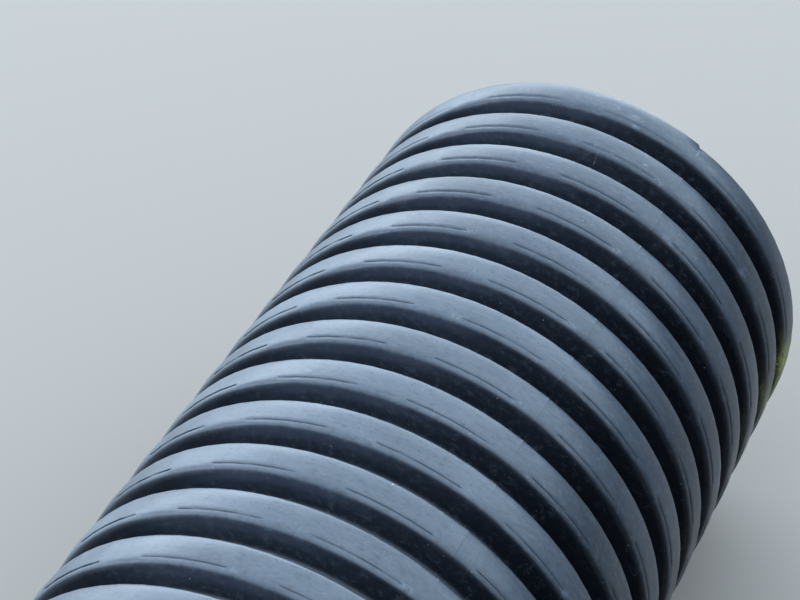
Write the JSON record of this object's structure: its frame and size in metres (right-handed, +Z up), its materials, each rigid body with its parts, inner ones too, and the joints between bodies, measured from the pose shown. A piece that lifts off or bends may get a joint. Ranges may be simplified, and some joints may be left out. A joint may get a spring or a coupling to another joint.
{
  "type": "corrugated plastic drain pipe",
  "caption": "Black corrugated culvert pipe with rounded annular ribs, a smooth bore and square-cut ends.",
  "frame": {"origin": "on the pipe's axis, half-way along its length", "axes": "+X along the pipe towards the end that stands clear in the picture, +Z up as it lies"},
  "size_m": [3, 0.6866, 0.6866],
  "materials": {
    "pipe_wall": "black polyethylene, satin and weathered, with dust in the valleys"
  },
  "bodies": {
    "root": {"pipe": "pipe_wall"}
  },
  "joints": []
}
